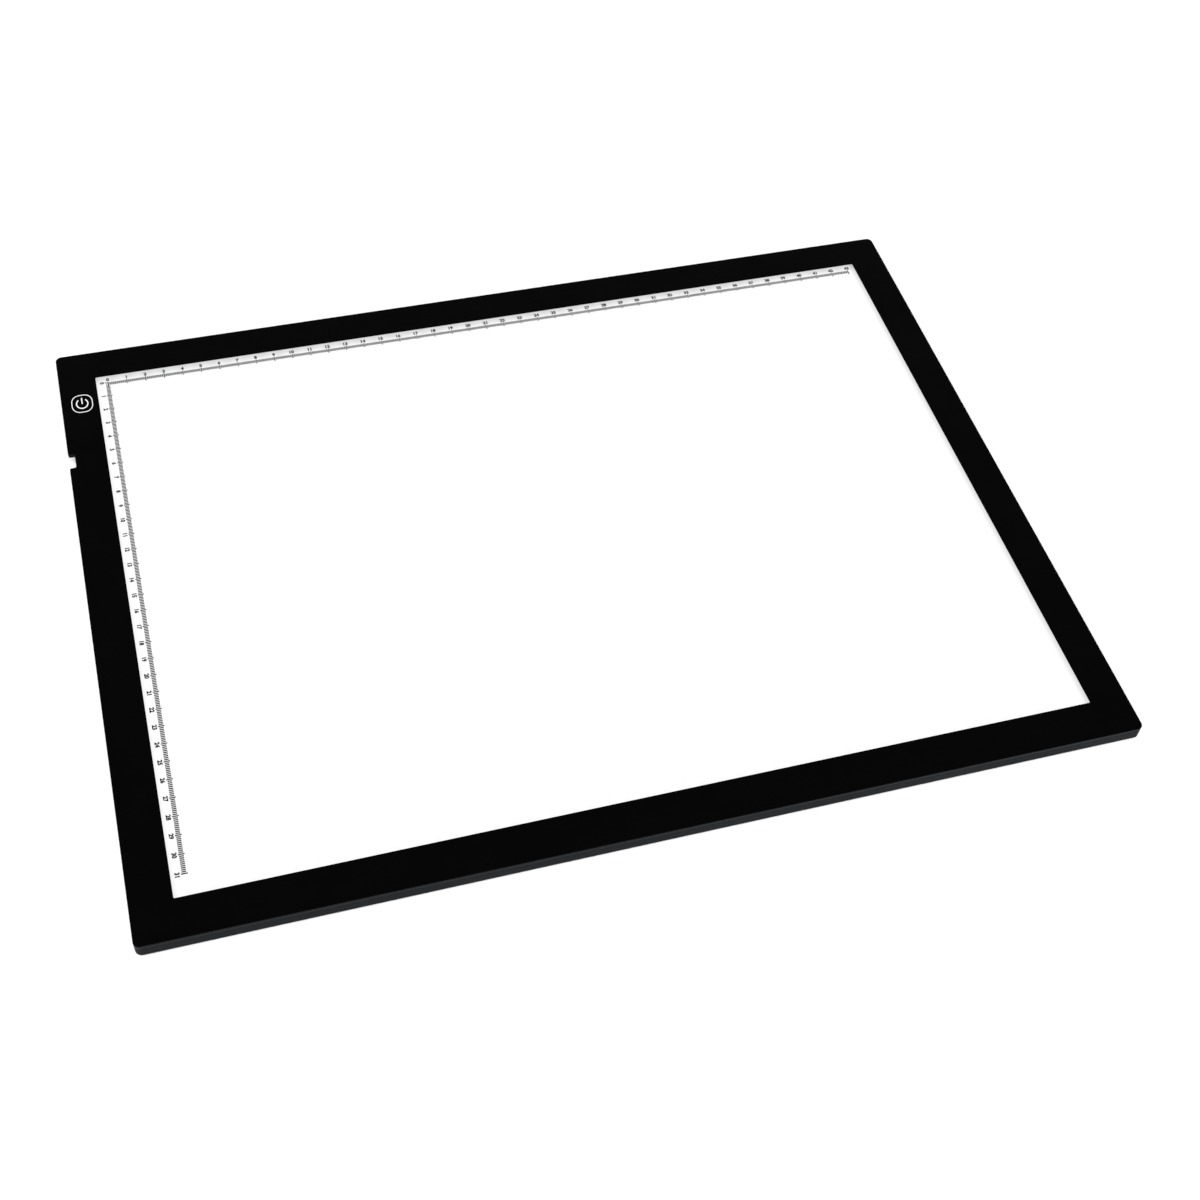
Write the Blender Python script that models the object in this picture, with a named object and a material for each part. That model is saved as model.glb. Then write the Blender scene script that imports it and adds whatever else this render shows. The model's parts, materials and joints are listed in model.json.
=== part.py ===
"""A thin A3 LED light pad for tracing: rear cover, edge-lit light guide, top panel and electronics.

Units are metres and +Z is up. The origin is the middle of the footprint, on the surface that the
rubber feet stand on. +X runs along the long edge, +Y points to the back edge, where the ruler is.
Every layer keeps GAP to the next one.
"""

import math

import bmesh
import bpy
from mathutils import Vector

MM = 0.001

# Outline of the pad
PAD_WIDTH = 480 * MM
PAD_DEPTH = 366 * MM
CORNER_RADIUS = 3.2 * MM
GAP = 0.3 * MM

# Lit window in the printed border
WINDOW_WIDTH = 441 * MM
WINDOW_DEPTH = 326 * MM

# Notch for the power plug, in the left edge
NOTCH_Y = 104.2 * MM
NOTCH_LENGTH = 9.4 * MM
NOTCH_DEPTH = 3.4 * MM
NOTCH_RADIUS = 1 * MM

# Longer bay under the notch, in the rear cover only, for the plug's grip
BAY_LENGTH = 22 * MM

# Heights of the layers, from the feet up
FOOT_HEIGHT = 0.8 * MM
FLOOR_THICKNESS = 1.3 * MM
REFLECTOR_THICKNESS = 0.2 * MM
GUIDE_THICKNESS = 3 * MM
DIFFUSER_THICKNESS = 0.2 * MM
PANEL_THICKNESS = 2 * MM
TAPE_THICKNESS = 0.4 * MM

COVER_BOTTOM = FOOT_HEIGHT + GAP
COVER_FLOOR = COVER_BOTTOM + FLOOR_THICKNESS
REFLECTOR_BOTTOM = COVER_FLOOR + GAP
GUIDE_BOTTOM = REFLECTOR_BOTTOM + REFLECTOR_THICKNESS + GAP
DIFFUSER_BOTTOM = GUIDE_BOTTOM + GUIDE_THICKNESS + GAP
PANEL_BOTTOM = DIFFUSER_BOTTOM + DIFFUSER_THICKNESS + GAP
PANEL_TOP = PANEL_BOTTOM + PANEL_THICKNESS
RIM_TOP = PANEL_BOTTOM - GAP
LEDGE_TOP = PANEL_BOTTOM - 2 * GAP - TAPE_THICKNESS

# Rim of the rear cover
LIP_WIDTH = 1 * MM
RIM_WIDTH = 5 * MM
LEFT_RIM_WIDTH = 3 * MM
NOTCH_WALL = 1.2 * MM
COVER_CHAMFER = 0.6 * MM
PANEL_CHAMFER = 0.2 * MM
INNER_CORNER_RADIUS = 1.2 * MM

# Light guide and the two LED strips along its long edges
GUIDE_OVERLAP = 3 * MM
GUIDE_WIDTH = WINDOW_WIDTH + 2 * GUIDE_OVERLAP
GUIDE_DEPTH = WINDOW_DEPTH + 2 * GUIDE_OVERLAP
LED_COUNT = 49
LED_PITCH = 9 * MM
LED_WIDTH = 3.5 * MM
LED_DEPTH = 0.9 * MM
STRIP_BOARD = 0.8 * MM
STRIP_LEFT = -222.8 * MM
STRIP_RIGHT = 222 * MM
STRIP_INSET = 0.1 * MM
RIB_THICKNESS = 1.2 * MM

# Control board along the left edge
BOARD_LEFT = -235 * MM
BOARD_RIGHT = -224.6 * MM
BOARD_FRONT = 84 * MM
BOARD_BACK = 160 * MM
BOARD_THICKNESS = 0.8 * MM
BOSS_HEIGHT = 0.6 * MM
BOARD_BOTTOM = COVER_FLOOR + BOSS_HEIGHT + GAP
BOARD_TOP = BOARD_BOTTOM + BOARD_THICKNESS
PART_BOTTOM = BOARD_TOP + GAP
TOUCH_KEY = (-229.2 * MM, 145 * MM)
SCREW_PLACES = ((-232.2 * MM, 88 * MM), (-227 * MM, 113 * MM), (-232.4 * MM, 156.6 * MM))

# Power socket in the notch's inner wall
SOCKET_WIDTH = 7.5 * MM
SOCKET_HEIGHT = 2.5 * MM
SOCKET_LENGTH = 5 * MM
SOCKET_WALL = 0.3 * MM
SOCKET_BOTTOM = BOARD_BOTTOM
CONTACT_COUNT = 5
CONTACT_PITCH = 0.65 * MM

# Feet and rating label under the rear cover
FOOT_RADIUS = 6 * MM
FOOT_EDGE_DISTANCE = 20 * MM
LABEL_CENTRE = (-165 * MM, 112 * MM)
LABEL_SIZE = (56 * MM, 28 * MM)
LABEL_RECESS = 0.4 * MM
LABEL_THICKNESS = 0.2 * MM

NOTCH_FLOOR_X = -PAD_WIDTH / 2 + NOTCH_DEPTH


def clear_scene():
    """Remove every object, so that a second run starts empty."""
    for thing in list(bpy.data.objects):
        bpy.data.objects.remove(thing, do_unlink=True)


def material(name, colour, roughness, metallic=0.0):
    """A Principled material with the piece's own colour."""
    surface = bpy.data.materials.new(name)
    surface.use_nodes = True
    shader = surface.node_tree.nodes["Principled BSDF"]
    shader.inputs["Base Color"].default_value = (*colour, 1)
    shader.inputs["Roughness"].default_value = roughness
    shader.inputs["Metallic"].default_value = metallic
    surface.diffuse_color = (*colour, 1)
    return surface


def place(thing, surface):
    """Give an object its material, put it in the scene and parent it to the assembly."""
    thing.data.materials.append(surface)
    bpy.context.scene.collection.objects.link(thing)
    thing.parent = bpy.data.objects["light_pad"]
    return thing


def piece(name, bm, surface):
    """Turn a bmesh into a named sub-part with outward faces and smooth round sides."""
    bmesh.ops.recalc_face_normals(bm, faces=bm.faces)
    mesh = bpy.data.meshes.new(name)
    bm.to_mesh(mesh)
    bm.free()
    mesh.shade_smooth()
    mesh.set_sharp_from_angle(angle=math.radians(30))
    return place(bpy.data.objects.new(name, mesh), surface)


def helper(name, bm):
    """A guide for a Boolean modifier, hidden from the render."""
    guide = piece(name, bm, material(name, (1, 0, 1), 0.5))
    guide.hide_render = True
    guide.display_type = "WIRE"
    return guide


def boolean(thing, guide, operation):
    """Add or cut away a guide with an exact Boolean modifier."""
    modifier = thing.modifiers.new(guide.name, "BOOLEAN")
    modifier.object = guide
    modifier.operation = operation
    modifier.solver = "EXACT"


def rounded(corners, segments=6):
    """Points of a polygon whose corners (x, y, radius) are arcs, in the corners' order."""
    points = []
    for index, (x, y, radius) in enumerate(corners):
        corner = Vector((x, y))
        before = (Vector(corners[index - 1][:2]) - corner).normalized()
        after = (Vector(corners[(index + 1) % len(corners)][:2]) - corner).normalized()
        half = before.angle(after) / 2
        centre = corner + (before + after).normalized() * radius / math.sin(half)
        start = corner + before * radius / math.tan(half) - centre
        end = corner + after * radius / math.tan(half) - centre
        sweep = start.angle_signed(end)
        for step in range(segments + 1):
            turn = -sweep * step / segments
            cos, sin = math.cos(turn), math.sin(turn)
            points.append(centre + Vector((start.x * cos - start.y * sin, start.x * sin + start.y * cos)))
    return points


def rectangle(left, right, front, back, radius=0.0):
    """A rectangle's outline, with round corners where a radius is given."""
    corners = [(left, front), (right, front), (right, back), (left, back)]
    if radius == 0:
        return [Vector(corner) for corner in corners]
    return rounded([(x, y, radius) for x, y in corners])


def pad_outline(inset, left_inset, notch_wall, notch_radius, notch_length):
    """The pad's outline with its notch, drawn in from the edges by the given widths."""
    side = PAD_WIDTH / 2 - inset
    left = -PAD_WIDTH / 2 + left_inset
    end = PAD_DEPTH / 2 - inset
    radius = max(CORNER_RADIUS - inset, INNER_CORNER_RADIUS)
    mouth_radius = max(NOTCH_RADIUS - left_inset, 0.2 * MM)
    notch_x = NOTCH_FLOOR_X + notch_wall
    notch_back = NOTCH_Y + notch_length / 2 + notch_wall
    notch_front = NOTCH_Y - notch_length / 2 - notch_wall
    return rounded(
        [
            (left, -end, radius),
            (side, -end, radius),
            (side, end, radius),
            (left, end, radius),
            (left, notch_back, mouth_radius),
            (notch_x, notch_back, notch_radius),
            (notch_x, notch_front, notch_radius),
            (left, notch_front, mouth_radius),
        ]
    )


def even_outline(inset, notch_length):
    """The pad's outline, drawn in by the same small width all round."""
    return pad_outline(inset, inset, inset, NOTCH_RADIUS + inset, notch_length)


def skin(levels):
    """A closed body through outlines with equal point counts, each at its own height."""
    bm = bmesh.new()
    loops = [[bm.verts.new((p.x, p.y, height)) for p in outline] for outline, height in levels]
    for lower, upper in zip(loops, loops[1:]):
        for index in range(len(lower)):
            bm.faces.new((lower[index - 1], lower[index], upper[index], upper[index - 1]))
    bm.faces.new(reversed(loops[0]))
    bm.faces.new(loops[-1])
    return bm


def add_prism(bm, outline, low, high):
    """Extrude an outline from one height to another inside a bmesh."""
    base = bm.faces.new([bm.verts.new((p.x, p.y, low)) for p in outline])
    grown = bmesh.ops.extrude_face_region(bm, geom=[base])
    verts = [item for item in grown["geom"] if isinstance(item, bmesh.types.BMVert)]
    bmesh.ops.translate(bm, verts=verts, vec=(0, 0, high - low))


def prism(outline, low, high):
    """A bmesh with a single extruded outline."""
    bm = bmesh.new()
    add_prism(bm, outline, low, high)
    return bm


def add_block(bm, left, right, front, back, low, high):
    """Add a square-edged block to a bmesh."""
    add_prism(bm, rectangle(left, right, front, back), low, high)


def block(name, limits, low, high, surface, radius=0.0):
    """A named block between the given left, right, front and back."""
    return piece(name, prism(rectangle(*limits, radius), low, high), surface)


def around(centre, size):
    """Left, right, front and back of a rectangle of a size about a centre."""
    x, y = centre
    width, depth = size
    return x - width / 2, x + width / 2, y - depth / 2, y + depth / 2


def circle(centre, radius, segments):
    """Points round a circle."""
    turns = [2 * math.pi * step / segments for step in range(segments)]
    return [Vector((centre[0] + radius * math.cos(t), centre[1] + radius * math.sin(t))) for t in turns]


def turned(centre, profile, segments):
    """A round body whose profile is radius and height pairs, bottom to top."""
    return skin([(circle(centre, radius, segments), height) for radius, height in profile])


def tube(name, points, radius, surface):
    """A wire along a row of points, with closed ends."""
    curve = bpy.data.curves.new(name, "CURVE")
    curve.dimensions = "3D"
    curve.bevel_depth = radius
    curve.bevel_resolution = 1
    curve.use_fill_caps = True
    spline = curve.splines.new("POLY")
    spline.points.add(len(points) - 1)
    for target, point in zip(spline.points, points):
        target.co = (*point, 1)
    return place(bpy.data.objects.new(name, curve), surface)


def smooth_route(route, steps=5):
    """Points on a smooth curve that passes through every point of a route."""
    knots = [Vector(point) for point in route]
    padded = [2 * knots[0] - knots[1], *knots, 2 * knots[-1] - knots[-2]]
    points = []
    for a, b, c, d in zip(padded, padded[1:], padded[2:], padded[3:]):
        for step in range(steps):
            t = step / steps
            points.append(
                0.5 * (2 * b + (c - a) * t + (2 * a - 5 * b + 4 * c - d) * t**2 + (3 * b - a - 3 * c + d) * t**3)
            )
    points.append(knots[-1])
    return points


def rear_cover(surface):
    """Shallow tray with a stepped rim, a bay for the plug, LED ribs, guide stops and screw bosses."""
    floor = pad_outline(RIM_WIDTH, LEFT_RIM_WIDTH, NOTCH_WALL, INNER_CORNER_RADIUS, BAY_LENGTH)
    cover = piece(
        "rear_cover",
        skin(
            [
                (even_outline(COVER_CHAMFER, BAY_LENGTH), COVER_BOTTOM),
                (even_outline(0, BAY_LENGTH), COVER_BOTTOM + COVER_CHAMFER),
                (even_outline(0, BAY_LENGTH), RIM_TOP),
                (even_outline(LIP_WIDTH, BAY_LENGTH), RIM_TOP),
                (even_outline(LIP_WIDTH, BAY_LENGTH), LEDGE_TOP),
                (floor, LEDGE_TOP),
                (floor, COVER_FLOOR),
            ]
        ),
        surface,
    )
    boolean(cover, helper("cover_ribs_and_bosses", ribs_and_bosses()), "UNION")
    boolean(cover, helper("cover_cut_outs", cover_cut_outs()), "DIFFERENCE")


def ribs_and_bosses():
    """Everything that stands up from the rear cover's floor."""
    bm = bmesh.new()
    root = COVER_FLOOR - FLOOR_THICKNESS / 2
    rib_inner = GUIDE_DEPTH / 2 + GAP + LED_DEPTH + STRIP_BOARD + GAP
    rib_outer = rib_inner + RIB_THICKNESS
    rib_top = GUIDE_BOTTOM + GUIDE_THICKNESS
    add_block(bm, -STRIP_RIGHT, STRIP_RIGHT, -rib_outer, -rib_inner, root, rib_top)
    add_block(bm, -STRIP_RIGHT, STRIP_RIGHT, rib_inner, rib_outer, root, rib_top)
    stop_right = -GUIDE_WIDTH / 2 - GAP
    for stop_y in (-120 * MM, -40 * MM, 40 * MM):
        limits = around((stop_right - 0.6 * MM, stop_y), (1.2 * MM, 8 * MM))
        add_block(bm, *limits, root, rib_top)
    for place_of_screw in SCREW_PLACES:
        add_prism(bm, circle(place_of_screw, 1.9 * MM, 20), root, COVER_FLOOR + BOSS_HEIGHT)
    return bm


def cover_cut_outs():
    """Screw pilots, the power socket's window and the label's shallow recess."""
    bm = bmesh.new()
    for place_of_screw in SCREW_PLACES:
        add_prism(bm, circle(place_of_screw, 0.9 * MM, 16), COVER_BOTTOM + 0.5 * MM, BOARD_BOTTOM)
    window_half = 3.6 * MM
    window_low = SOCKET_BOTTOM + 0.2 * MM
    window_high = SOCKET_BOTTOM + SOCKET_HEIGHT - 0.2 * MM
    window_left = NOTCH_FLOOR_X - 0.5 * MM
    window_right = NOTCH_FLOOR_X + NOTCH_WALL + 0.5 * MM
    window = (window_left, window_right, NOTCH_Y - window_half, NOTCH_Y + window_half)
    add_block(bm, *window, window_low, window_high)
    recess = rectangle(*around(LABEL_CENTRE, LABEL_SIZE), 2 * MM)
    add_prism(bm, recess, COVER_BOTTOM - 0.5 * MM, COVER_BOTTOM + LABEL_RECESS)
    return bm


def top_panel(surface):
    """Acrylic sheet that covers the whole pad, with the notch cut through it."""
    levels = [
        (even_outline(PANEL_CHAMFER, NOTCH_LENGTH), PANEL_BOTTOM),
        (even_outline(0, NOTCH_LENGTH), PANEL_BOTTOM + PANEL_CHAMFER),
        (even_outline(0, NOTCH_LENGTH), PANEL_TOP - PANEL_CHAMFER),
        (even_outline(PANEL_CHAMFER, NOTCH_LENGTH), PANEL_TOP),
    ]
    piece("top_panel", skin(levels), surface)


def panel_tapes(surface):
    """Adhesive tape strips on the rim's ledge, which hold the top panel down."""
    low = LEDGE_TOP + GAP
    high = low + TAPE_THICKNESS
    outer_x = PAD_WIDTH / 2 - LIP_WIDTH - GAP
    outer_y = PAD_DEPTH / 2 - LIP_WIDTH - GAP
    inner_y = PAD_DEPTH / 2 - RIM_WIDTH + GAP
    right_inner = PAD_WIDTH / 2 - RIM_WIDTH + GAP
    left_inner = PAD_WIDTH / 2 - LEFT_RIM_WIDTH + GAP
    long_end = outer_x - CORNER_RADIUS
    short_end = inner_y - GAP
    block("panel_tape_front", (-long_end, long_end, -outer_y, -inner_y), low, high, surface)
    block("panel_tape_back", (-long_end, long_end, inner_y, outer_y), low, high, surface)
    block("panel_tape_right", (right_inner, outer_x, -short_end, short_end), low, high, surface)
    bay_reach = BAY_LENGTH / 2 + NOTCH_WALL + GAP
    left_front = (-outer_x, -left_inner, -short_end, NOTCH_Y - bay_reach)
    left_back = (-outer_x, -left_inner, NOTCH_Y + bay_reach, short_end)
    block("panel_tape_left_front", left_front, low, high, surface)
    block("panel_tape_left_back", left_back, low, high, surface)


def light_sheets(reflector, clear, milky):
    """Reflector under the light guide plate, and the diffuser over it."""
    limits = around((0, 0), (GUIDE_WIDTH, GUIDE_DEPTH))
    block("reflector_sheet", limits, REFLECTOR_BOTTOM, REFLECTOR_BOTTOM + REFLECTOR_THICKNESS, reflector)
    block("light_guide_plate", limits, GUIDE_BOTTOM, GUIDE_BOTTOM + GUIDE_THICKNESS, clear)
    block("diffuser_sheet", limits, DIFFUSER_BOTTOM, DIFFUSER_BOTTOM + DIFFUSER_THICKNESS, milky)


def led_strip(name, side, surface):
    """Narrow board on edge with a row of LEDs that face the light guide's edge."""
    led_face = GUIDE_DEPTH / 2 + GAP
    board_face = led_face + LED_DEPTH
    board_back = board_face + STRIP_BOARD
    outline = [(STRIP_LEFT, board_back), (STRIP_RIGHT, board_back), (STRIP_RIGHT, board_face)]
    for index in reversed(range(LED_COUNT)):
        centre = (index - (LED_COUNT - 1) / 2) * LED_PITCH
        right = centre + LED_WIDTH / 2
        left = centre - LED_WIDTH / 2
        outline += [(right, board_face), (right, led_face), (left, led_face), (left, board_face)]
    outline.append((STRIP_LEFT, board_face))
    points = [Vector((x, side * y)) for x, y in outline]
    low = GUIDE_BOTTOM + STRIP_INSET
    high = GUIDE_BOTTOM + GUIDE_THICKNESS - STRIP_INSET
    piece(name, prism(points, low, high), surface)


def foam_strips(surface):
    """Foam that fills the border between the rim and the light guide."""
    low = COVER_FLOOR + GAP
    high = RIM_TOP
    rim_y = PAD_DEPTH / 2 - RIM_WIDTH - GAP
    rib_y = GUIDE_DEPTH / 2 + LED_DEPTH + STRIP_BOARD + RIB_THICKNESS + 3 * GAP
    right = (GUIDE_WIDTH / 2 + GAP, PAD_WIDTH / 2 - RIM_WIDTH - GAP, -rim_y, rim_y)
    left = (-PAD_WIDTH / 2 + LEFT_RIM_WIDTH + GAP, -228.4 * MM, -rim_y, BOARD_FRONT - 4 * MM)
    front = (-STRIP_RIGHT, STRIP_RIGHT, -rim_y, -rib_y)
    back = (-STRIP_RIGHT, STRIP_RIGHT, rib_y, rim_y)
    for side, limits in (("front", front), ("back", back), ("right", right), ("left", left)):
        block(f"foam_strip_{side}", limits, low, high, surface, INNER_CORNER_RADIUS)


def control_board(surface):
    """Circuit board with a cut-out for the power socket and three screw holes."""
    socket_half = SOCKET_WIDTH / 2 + GAP
    socket_end = BOARD_LEFT + SOCKET_LENGTH + 2 * GAP
    outline = [
        (BOARD_LEFT, BOARD_FRONT),
        (BOARD_RIGHT, BOARD_FRONT),
        (BOARD_RIGHT, BOARD_BACK),
        (BOARD_LEFT, BOARD_BACK),
        (BOARD_LEFT, NOTCH_Y + socket_half),
        (socket_end, NOTCH_Y + socket_half),
        (socket_end, NOTCH_Y - socket_half),
        (BOARD_LEFT, NOTCH_Y - socket_half),
    ]
    board = piece("control_board", prism([Vector(p) for p in outline], BOARD_BOTTOM, BOARD_TOP), surface)
    holes = bmesh.new()
    for place_of_screw in SCREW_PLACES:
        add_prism(holes, circle(place_of_screw, 1.1 * MM, 16), BOARD_BOTTOM - GAP, BOARD_TOP + GAP)
    boolean(board, helper("board_holes", holes), "DIFFERENCE")


def board_screws(surface):
    """Pan-head screws that hold the board to the rear cover's bosses."""
    profile = (
        (0.6 * MM, COVER_BOTTOM + 0.8 * MM),
        (0.6 * MM, PART_BOTTOM),
        (1.6 * MM, PART_BOTTOM),
        (1.6 * MM, PART_BOTTOM + 0.3 * MM),
        (1.2 * MM, PART_BOTTOM + 0.6 * MM),
    )
    for number, place_of_screw in enumerate(SCREW_PLACES, start=1):
        piece(f"board_screw_{number}", turned(place_of_screw, profile, 16), surface)


def power_socket(steel, plastic, gold):
    """Micro-USB style socket: folded shell, plastic tongue and five contacts."""
    left = BOARD_LEFT
    right = left + SOCKET_LENGTH
    half = SOCKET_WIDTH / 2
    low = SOCKET_BOTTOM
    high = low + SOCKET_HEIGHT
    shell = block("socket_shell", (left, right, NOTCH_Y - half, NOTCH_Y + half), low, high, steel)
    mouth = bmesh.new()
    inner = (left - 1 * MM, right - SOCKET_WALL, NOTCH_Y - half + SOCKET_WALL, NOTCH_Y + half - SOCKET_WALL)
    add_block(mouth, *inner, low + SOCKET_WALL, high - SOCKET_WALL)
    boolean(shell, helper("socket_mouth", mouth), "DIFFERENCE")

    tongue_top = high - SOCKET_WALL - GAP
    tongue_bottom = tongue_top - 0.5 * MM
    root_right = right - SOCKET_WALL - GAP
    root_left = root_right - 1.3 * MM
    root = (root_left, root_right, NOTCH_Y - 3.1 * MM, NOTCH_Y + 3.1 * MM)
    tongue = block("socket_tongue", root, low + SOCKET_WALL + GAP, tongue_top, plastic)
    blade = bmesh.new()
    tip = left + 0.7 * MM
    half_blade = 1.9 * MM
    limits = (tip, root_left + GAP, NOTCH_Y - half_blade, NOTCH_Y + half_blade)
    add_block(blade, *limits, tongue_bottom, tongue_top)
    boolean(tongue, helper("socket_blade", blade), "UNION")

    contact_top = tongue_bottom - GAP
    for number in range(1, CONTACT_COUNT + 1):
        centre_y = NOTCH_Y + (number - (CONTACT_COUNT + 1) / 2) * CONTACT_PITCH
        limits = (tip + 0.2 * MM, root_left - GAP, centre_y - 0.17 * MM, centre_y + 0.17 * MM)
        block(f"socket_contact_{number}", limits, contact_top - 0.15 * MM, contact_top, gold)


def touch_spring(surface):
    """Coil spring that carries the touch key's field from the board to the panel."""
    wire = 0.2 * MM
    turns = 2.5
    per_turn = 18
    low = PART_BOTTOM + wire
    high = RIM_TOP - wire
    points = []
    for step in range(int(turns * per_turn) + 1):
        share = step / (turns * per_turn)
        angle = 2 * math.pi * turns * share
        x = TOUCH_KEY[0] + 3.8 * MM * math.cos(angle)
        y = TOUCH_KEY[1] + 3.8 * MM * math.sin(angle)
        points.append((x, y, low + (high - low) * share))
    tube("touch_spring", points, wire, surface)


def chip(name, centre, size, height, leg_count, surface):
    """Moulded chip body with straight legs out of both long sides."""
    left, right, front, back = around(centre, size)
    body = block(name, (left, right, front, back), PART_BOTTOM, PART_BOTTOM + height, surface)
    legs = bmesh.new()
    pitch = (back - front) / leg_count
    for index in range(leg_count):
        leg_y = front + pitch * (index + 0.5)
        limits = (left - 0.7 * MM, right + 0.7 * MM, leg_y - 0.2 * MM, leg_y + 0.2 * MM)
        add_block(legs, *limits, PART_BOTTOM + 0.1 * MM, PART_BOTTOM + 0.3 * MM)
    boolean(body, helper(f"{name}_legs", legs), "UNION")


def board_parts(black, ferrite, ceramic, white):
    """Chips, inductor, capacitors, diode and the two wire plugs on the board."""
    low = PART_BOTTOM
    middle = (BOARD_LEFT + BOARD_RIGHT) / 2
    chip("touch_chip", (middle, 136 * MM), (1.6 * MM, 2.9 * MM), 1.1 * MM, 3, black)
    chip("driver_chip", (middle - 1 * MM, 121 * MM), (3.9 * MM, 4.9 * MM), 1.5 * MM, 4, black)
    inductor = around((middle, 128.5 * MM), (5 * MM, 5 * MM))
    block("power_inductor", inductor, low, low + 2 * MM, ferrite, 1 * MM)
    diode = around((middle - 2 * MM, 113.5 * MM), (2.6 * MM, 4.3 * MM))
    block("diode", diode, low, low + 1.8 * MM, black)
    input_capacitor = around((BOARD_RIGHT - 2 * MM, 104 * MM), (1.6 * MM, 3.2 * MM))
    block("input_capacitor", input_capacitor, low, low + 1.2 * MM, ceramic)
    output_capacitor = around((BOARD_RIGHT - 1.6 * MM, 121 * MM), (1.6 * MM, 3.2 * MM))
    block("output_capacitor", output_capacitor, low, low + 1.2 * MM, ceramic)
    front_plug = around((-226.9 * MM, BOARD_FRONT + 5 * MM), (4.2 * MM, 4 * MM))
    block("wire_plug_front", front_plug, low, low + 2 * MM, white)
    back_plug = around((-227 * MM, BOARD_BACK - 3.5 * MM), (4.2 * MM, 4 * MM))
    block("wire_plug_back", back_plug, low, low + 2 * MM, white)


def strip_wires(red, black):
    """Four wires from the board's plugs to the left ends of the LED strips."""
    radius = 0.5 * MM
    strip_x = STRIP_LEFT - GAP
    strip_y = GUIDE_DEPTH / 2 + GAP + LED_DEPTH + STRIP_BOARD / 2
    exit_height = PART_BOTTOM + 1 * MM
    front_exit = BOARD_FRONT + 3 * MM - GAP
    back_exit = BOARD_BACK - 1.5 * MM + GAP
    for colour, surface, lane, end_height in (
        ("red", red, -227.6 * MM, 5.5 * MM),
        ("black", black, -226.2 * MM, 3.9 * MM),
    ):
        front_route = (
            (lane, front_exit, exit_height),
            (lane, BOARD_FRONT - 8 * MM, 4.6 * MM),
            (lane, 0, 4.6 * MM),
            (lane, -strip_y + 12 * MM, end_height),
            (lane + 1 * MM, -strip_y + 2 * MM, end_height),
            (strip_x, -strip_y, end_height),
        )
        back_route = (
            (lane, back_exit, exit_height),
            (lane, back_exit + 3.5 * MM, end_height),
            (strip_x, strip_y, end_height),
        )
        tube(f"wire_front_{colour}", smooth_route(front_route), radius, surface)
        tube(f"wire_back_{colour}", smooth_route(back_route), radius, surface)


def rubber_feet(surface):
    """Four low round feet near the corners."""
    profile = (
        (FOOT_RADIUS - 0.25 * MM, 0),
        (FOOT_RADIUS, 0.25 * MM),
        (FOOT_RADIUS, FOOT_HEIGHT),
    )
    foot_x = PAD_WIDTH / 2 - FOOT_EDGE_DISTANCE
    foot_y = PAD_DEPTH / 2 - FOOT_EDGE_DISTANCE
    for name, side_x, side_y in (
        ("foot_front_left", -1, -1),
        ("foot_front_right", 1, -1),
        ("foot_back_right", 1, 1),
        ("foot_back_left", -1, 1),
    ):
        piece(name, turned((side_x * foot_x, side_y * foot_y), profile, 40), surface)


def rating_label(surface):
    """Plain sticker in its recess under the rear cover."""
    width, depth = LABEL_SIZE
    limits = around(LABEL_CENTRE, (width - 2 * GAP, depth - 2 * GAP))
    high = COVER_BOTTOM + LABEL_RECESS - GAP
    block("rating_label", limits, high - LABEL_THICKNESS, high, surface, 1.7 * MM)


def build():
    clear_scene()
    assembly = bpy.data.objects.new("light_pad", None)
    bpy.context.scene.collection.objects.link(assembly)

    plastic = material("black_plastic", (0.025, 0.027, 0.029), 0.5)
    acrylic = material("white_acrylic", (0.9, 0.92, 0.93), 0.25)
    clear = material("clear_acrylic", (0.85, 0.92, 0.95), 0.05)
    diffuser = material("diffuser_film", (0.95, 0.95, 0.95), 0.6)
    reflector = material("reflector_film", (0.92, 0.92, 0.92), 0.35)
    tape = material("adhesive_tape", (0.03, 0.03, 0.03), 0.8)
    foam = material("black_foam", (0.02, 0.02, 0.02), 0.95)
    strip = material("led_strip", (0.9, 0.85, 0.55), 0.4)
    board = material("green_board", (0.02, 0.22, 0.08), 0.35)
    steel = material("plated_steel", (0.62, 0.62, 0.63), 0.25, 1.0)
    gold = material("gold_contact", (0.85, 0.65, 0.3), 0.25, 1.0)
    black = material("black_moulding", (0.03, 0.03, 0.03), 0.45)
    ferrite = material("ferrite", (0.09, 0.09, 0.09), 0.7)
    ceramic = material("ceramic_capacitor", (0.45, 0.33, 0.2), 0.5)
    white = material("white_plug", (0.85, 0.83, 0.78), 0.45)
    red_wire = material("red_wire", (0.6, 0.02, 0.02), 0.4)
    black_wire = material("black_wire", (0.02, 0.02, 0.02), 0.4)
    rubber = material("black_rubber", (0.02, 0.02, 0.02), 0.85)
    paper = material("label_paper", (0.75, 0.75, 0.74), 0.5)

    rear_cover(plastic)
    rubber_feet(rubber)
    rating_label(paper)
    light_sheets(reflector, clear, diffuser)
    led_strip("led_strip_front", -1, strip)
    led_strip("led_strip_back", 1, strip)
    foam_strips(foam)
    control_board(board)
    board_screws(steel)
    power_socket(steel, black, gold)
    touch_spring(steel)
    board_parts(black, ferrite, ceramic, white)
    strip_wires(red_wire, black_wire)
    panel_tapes(tape)
    top_panel(acrylic)


build()
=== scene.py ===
# %% [markdown]
# # A thin light pad for tracing
# The pad is a flat sandwich: a black plastic tray, a sheet of clear acrylic that spreads the light
# of two LED strips, and a top panel with a printed border. The solids come from the CAD model and
# are fixed. This script dresses them: it makes the printed panel, the rulers, the touch key mark,
# the cover, the feet and the socket with finer edges, and gives every piece a material that is
# built from nodes.

import json
import math

import bmesh
import bpy
from mathutils import Matrix, Vector


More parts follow.
